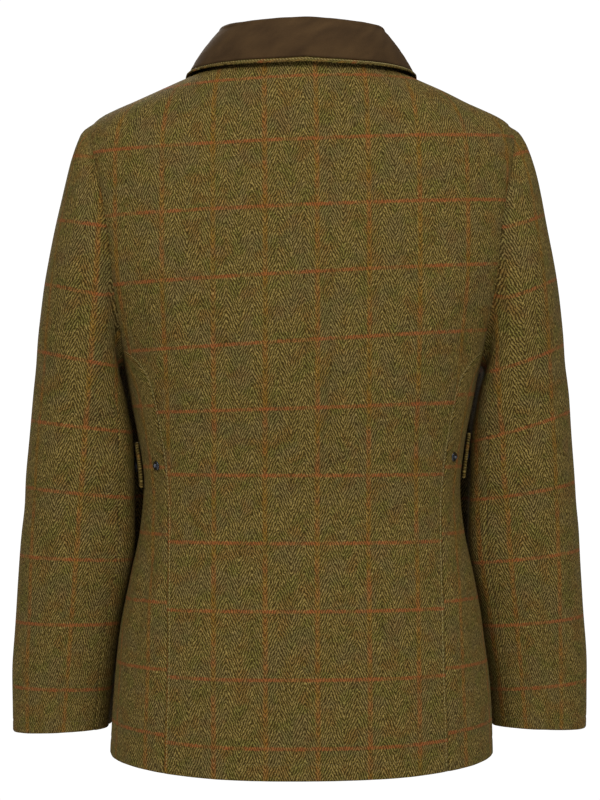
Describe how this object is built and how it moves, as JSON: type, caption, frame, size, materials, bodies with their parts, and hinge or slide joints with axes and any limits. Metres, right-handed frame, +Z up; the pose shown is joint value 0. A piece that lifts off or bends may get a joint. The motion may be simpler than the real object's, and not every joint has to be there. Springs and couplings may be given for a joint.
{
  "type": "shooting jacket",
  "caption": "Olive herringbone tweed shooting jacket with a brown turned-down collar, curved back seams and waist adjuster tabs, filled out as when it is worn.",
  "frame": {"origin": "the middle of the neck opening, level with the collar seam at the shoulders, where a wearer carries the jacket", "axes": "+Z up along the wearer's back, +Y towards the wearer's back, +X towards the wearer's left"},
  "size_m": [0.624, 0.2781, 0.79],
  "materials": {
    "tweed": "matt woollen herringbone tweed with an overcheck",
    "collar_cloth": "brushed brown cotton with a short nap",
    "stud_metal": "dark gunmetal plating, half bright"
  },
  "bodies": {
    "root": {"back": "tweed", "side_back_left": "tweed", "side_back_right": "tweed", "front_left": "tweed", "front_right": "tweed", "top_sleeve_left": "tweed", "top_sleeve_right": "tweed", "under_sleeve_left": "tweed", "under_sleeve_right": "tweed", "top_collar": "collar_cloth", "under_collar": "tweed", "waist_tab_left": "tweed", "waist_tab_right": "tweed", "tab_stud_left": "stud_metal", "tab_stud_right": "stud_metal", "adjust_stud_left": "stud_metal", "adjust_stud_right": "stud_metal", "front_stud_1": "stud_metal", "front_stud_2": "stud_metal", "front_stud_3": "stud_metal", "front_stud_4": "stud_metal", "front_stud_5": "stud_metal"}
  },
  "joints": []
}
